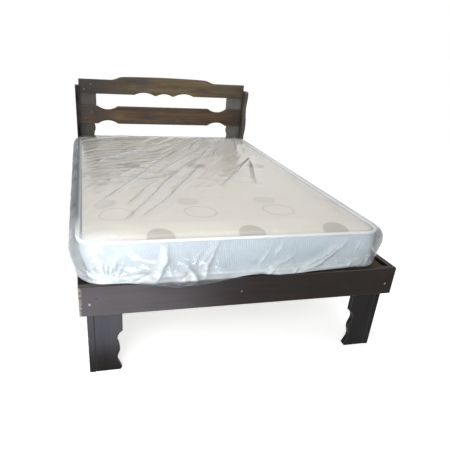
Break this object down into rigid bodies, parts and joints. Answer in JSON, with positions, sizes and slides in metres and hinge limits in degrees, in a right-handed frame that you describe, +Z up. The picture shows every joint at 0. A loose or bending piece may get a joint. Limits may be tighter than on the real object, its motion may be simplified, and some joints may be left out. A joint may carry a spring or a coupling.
{
  "type": "wooden bed",
  "caption": "Dark varnished wooden bed with scalloped legs and headboard, slats on cleats and a loose mattress in a clear bag.",
  "frame": {"origin": "on the floor below the middle of the bed's bounding box", "axes": "+X to the right seen from the foot, +Y from the foot to the headboard, +Z up"},
  "size_m": [1.3, 2.068, 0.9529],
  "materials": {
    "varnished_wood": "satin",
    "raw_wood": "matte",
    "screw_steel": "satin",
    "foam": "matte",
    "ticking": "satin",
    "border_cloth": "satin",
    "piping_tape": "satin",
    "clear_film": "gloss"
  },
  "bodies": {
    "frame": {"foot_rail": "varnished_wood", "side_rail_left": "varnished_wood", "side_rail_right": "varnished_wood", "leg_face_left": "varnished_wood", "leg_face_right": "varnished_wood", "leg_side_left": "varnished_wood", "leg_side_right": "varnished_wood", "post_left": "varnished_wood", "post_right": "varnished_wood", "wing_left": "varnished_wood", "wing_right": "varnished_wood", "crest_rail": "varnished_wood", "middle_rail": "varnished_wood", "head_rail": "varnished_wood", "cleat_left": "raw_wood", "cleat_right": "raw_wood", "centre_beam": "raw_wood", "beam_block_foot": "raw_wood", "beam_block_head": "raw_wood", "slat_01": "raw_wood", "slat_02": "raw_wood", "slat_03": "raw_wood", "slat_04": "raw_wood", "slat_05": "raw_wood", "slat_06": "raw_wood", "slat_07": "raw_wood", "slat_08": "raw_wood", "slat_09": "raw_wood", "slat_10": "raw_wood", "foot_rail_screws": "screw_steel", "side_rail_screws": "screw_steel", "headboard_screws": "screw_steel", "leg_corner_screws": "screw_steel", "wing_screws": "screw_steel", "slat_screws": "screw_steel", "cleat_screws": "screw_steel", "beam_screws": "screw_steel", "block_screws": "screw_steel"},
    "mattress": {"mattress_core": "foam", "mattress_top_panel": "ticking", "mattress_bottom_panel": "border_cloth", "mattress_border": "border_cloth", "piping_top": "piping_tape", "piping_bottom": "piping_tape", "mattress_bag": "clear_film"}
  },
  "joints": [
    {"name": "mattress_lift", "type": "slide", "parent": "frame", "child": "mattress", "axis": [0, 0, 1], "range_m": [0, 0.6]}
  ]
}
